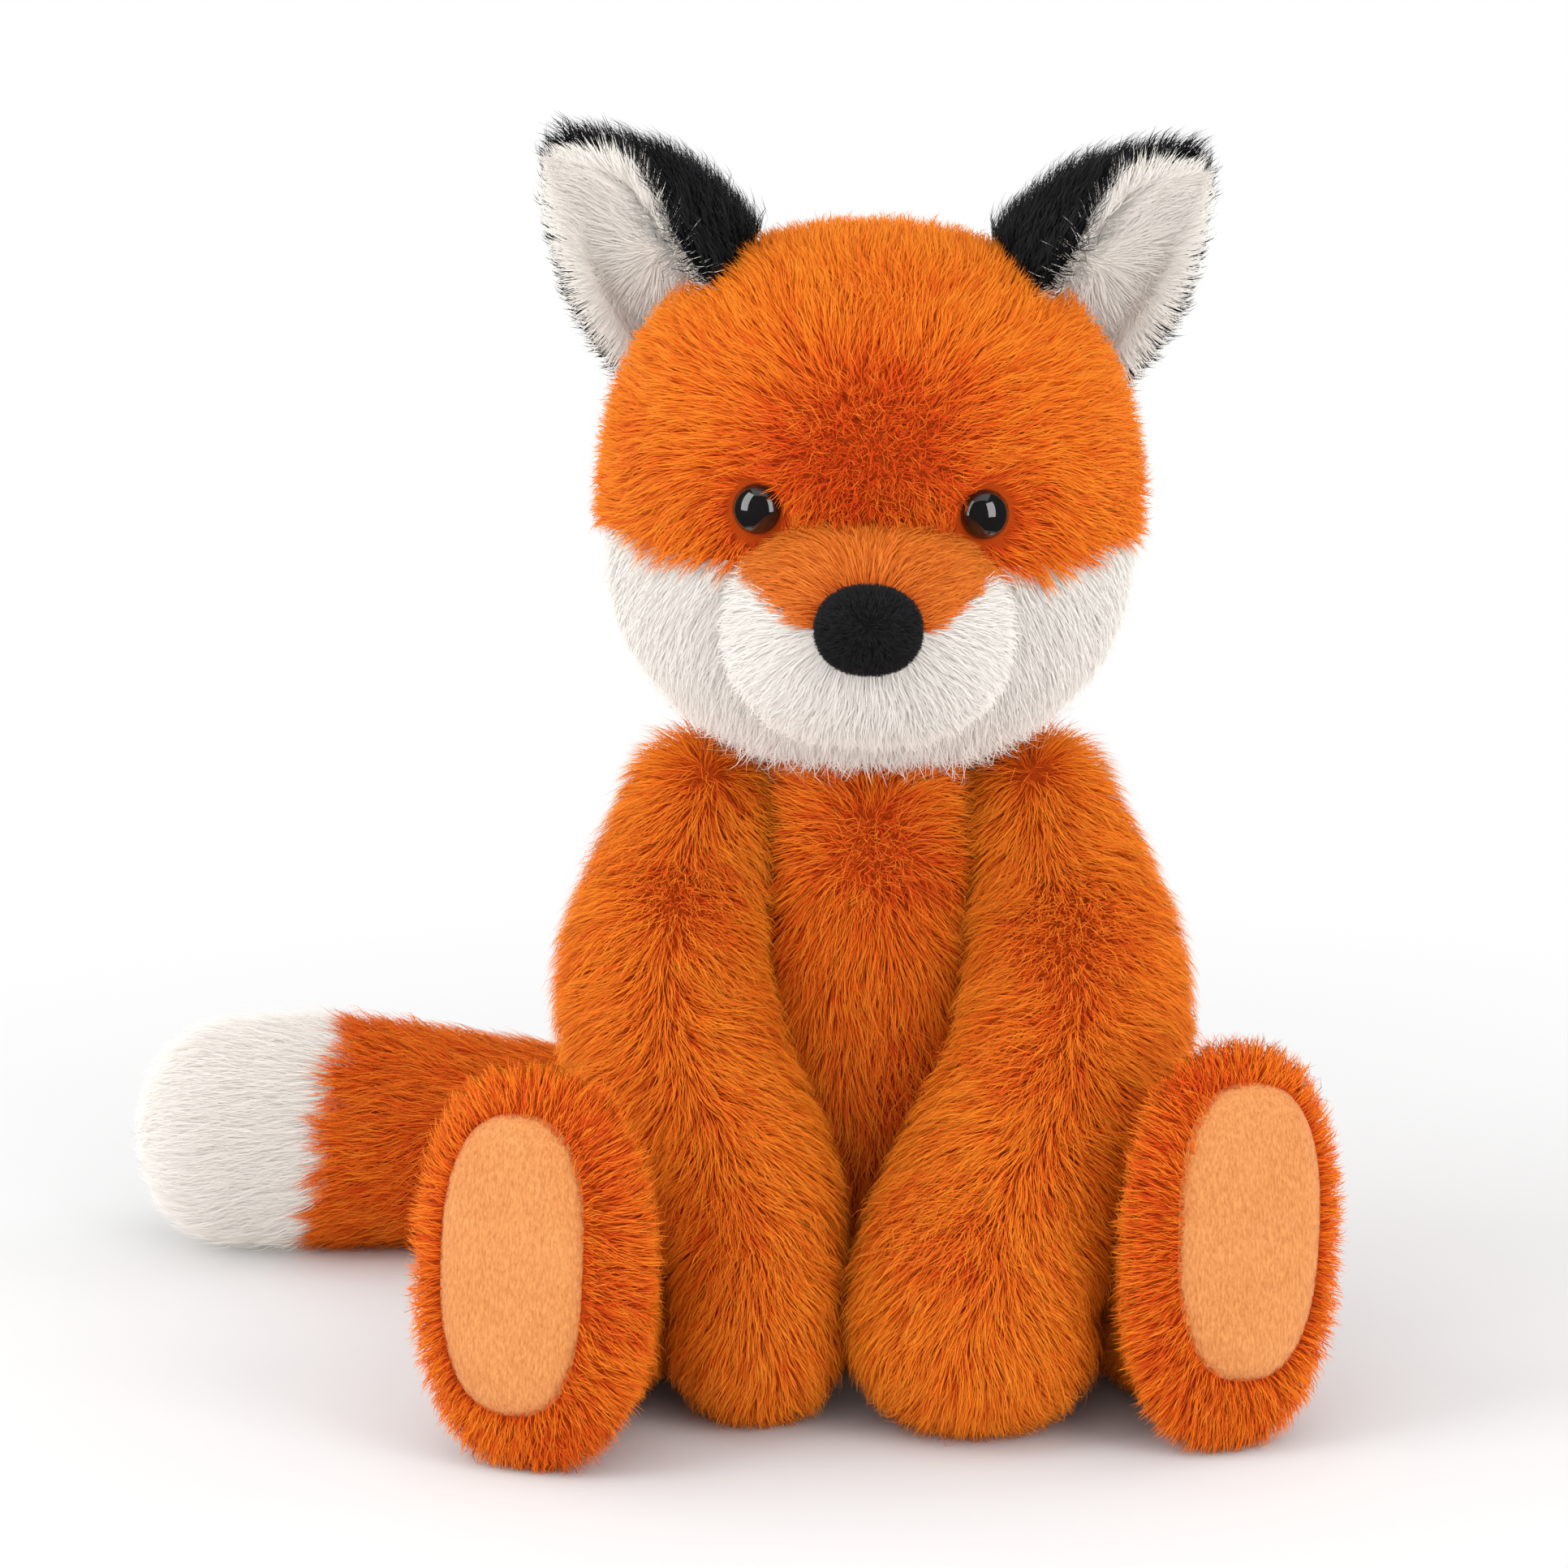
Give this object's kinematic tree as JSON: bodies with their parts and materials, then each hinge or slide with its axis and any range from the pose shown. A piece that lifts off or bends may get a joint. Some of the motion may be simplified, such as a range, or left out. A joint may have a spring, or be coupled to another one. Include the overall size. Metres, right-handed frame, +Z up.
{
  "type": "plush fox",
  "caption": "Seated soft fox toy with a round head, cupped ears, long arms, upturned padded feet and a side-lying tail; head, limbs and tail swing on their seams.",
  "frame": {"origin": "middle of the flat seat under the torso, on the surface that the toy sits on", "axes": "+Z up, the fox faces -Y, its own left side is at +X"},
  "size_m": [0.2989, 0.2215, 0.2983],
  "materials": {
    "orange_pile": "long soft pile, lying down and outward from whorls",
    "brown_pile": "shorter pile on top of the muzzle",
    "white_pile": "long soft white pile",
    "white_ear_pile": "short dense white pile inside the ears",
    "black_pile": "dense black pile on the ears' backs",
    "nose_pile": "very short black pile",
    "peach_velour": "short brushed velour",
    "glossy_black": "polished",
    "nylon": "moulded",
    "fibre": "loose polyester fibre",
    "bag_cloth": "plain cloth bag of plastic pellets"
  },
  "bodies": {
    "torso": {"torso_cover": "orange_pile", "torso_stuffing": "fibre", "pellet_bag": "bag_cloth"},
    "head": {"crown_cover": "orange_pile", "face_cover": "white_pile", "muzzle_top_cover": "brown_pile", "muzzle_cover": "white_pile", "nose": "nose_pile", "head_stuffing": "fibre", "muzzle_stuffing": "fibre", "left_eye": "glossy_black", "right_eye": "glossy_black", "left_eye_washer": "nylon", "right_eye_washer": "nylon", "left_ear_back": "black_pile", "left_ear_front": "white_ear_pile", "right_ear_back": "black_pile", "right_ear_front": "white_ear_pile"},
    "left_arm": {"left_arm_cover": "orange_pile", "left_arm_stuffing": "fibre"},
    "right_arm": {"right_arm_cover": "orange_pile", "right_arm_stuffing": "fibre"},
    "left_leg": {"left_leg_cover": "orange_pile", "left_leg_stuffing": "fibre", "left_foot_pad": "peach_velour"},
    "right_leg": {"right_leg_cover": "orange_pile", "right_leg_stuffing": "fibre", "right_foot_pad": "peach_velour"},
    "tail": {"tail_cover": "orange_pile", "tail_tip_cover": "white_pile", "tail_stuffing": "fibre"}
  },
  "joints": [
    {"name": "neck_turn", "type": "hinge", "parent": "torso", "child": "head", "pos_m": [0, -0.003, 0.1515], "axis": [0, 0, 1], "range_deg": [-30, 30]},
    {"name": "left_shoulder", "type": "hinge", "parent": "torso", "child": "left_arm", "pos_m": [0.04, -0.004, 0.133], "axis": [-1, 0, 0], "range_deg": [0, 50]},
    {"name": "right_shoulder", "type": "hinge", "parent": "torso", "child": "right_arm", "pos_m": [-0.04, -0.004, 0.133], "axis": [-1, 0, 0], "range_deg": [0, 50]},
    {"name": "left_hip", "type": "hinge", "parent": "torso", "child": "left_leg", "pos_m": [0.051, -0.012, 0.024], "axis": [-1, 0, 0], "range_deg": [-35, 2]},
    {"name": "right_hip", "type": "hinge", "parent": "torso", "child": "right_leg", "pos_m": [-0.051, -0.014, 0.024], "axis": [-1, 0, 0], "range_deg": [-35, 2]},
    {"name": "tail_swing", "type": "hinge", "parent": "torso", "child": "tail", "pos_m": [-0.016, 0.0585, 0.025], "axis": [0, 0, -1], "range_deg": [0, 75]}
  ]
}
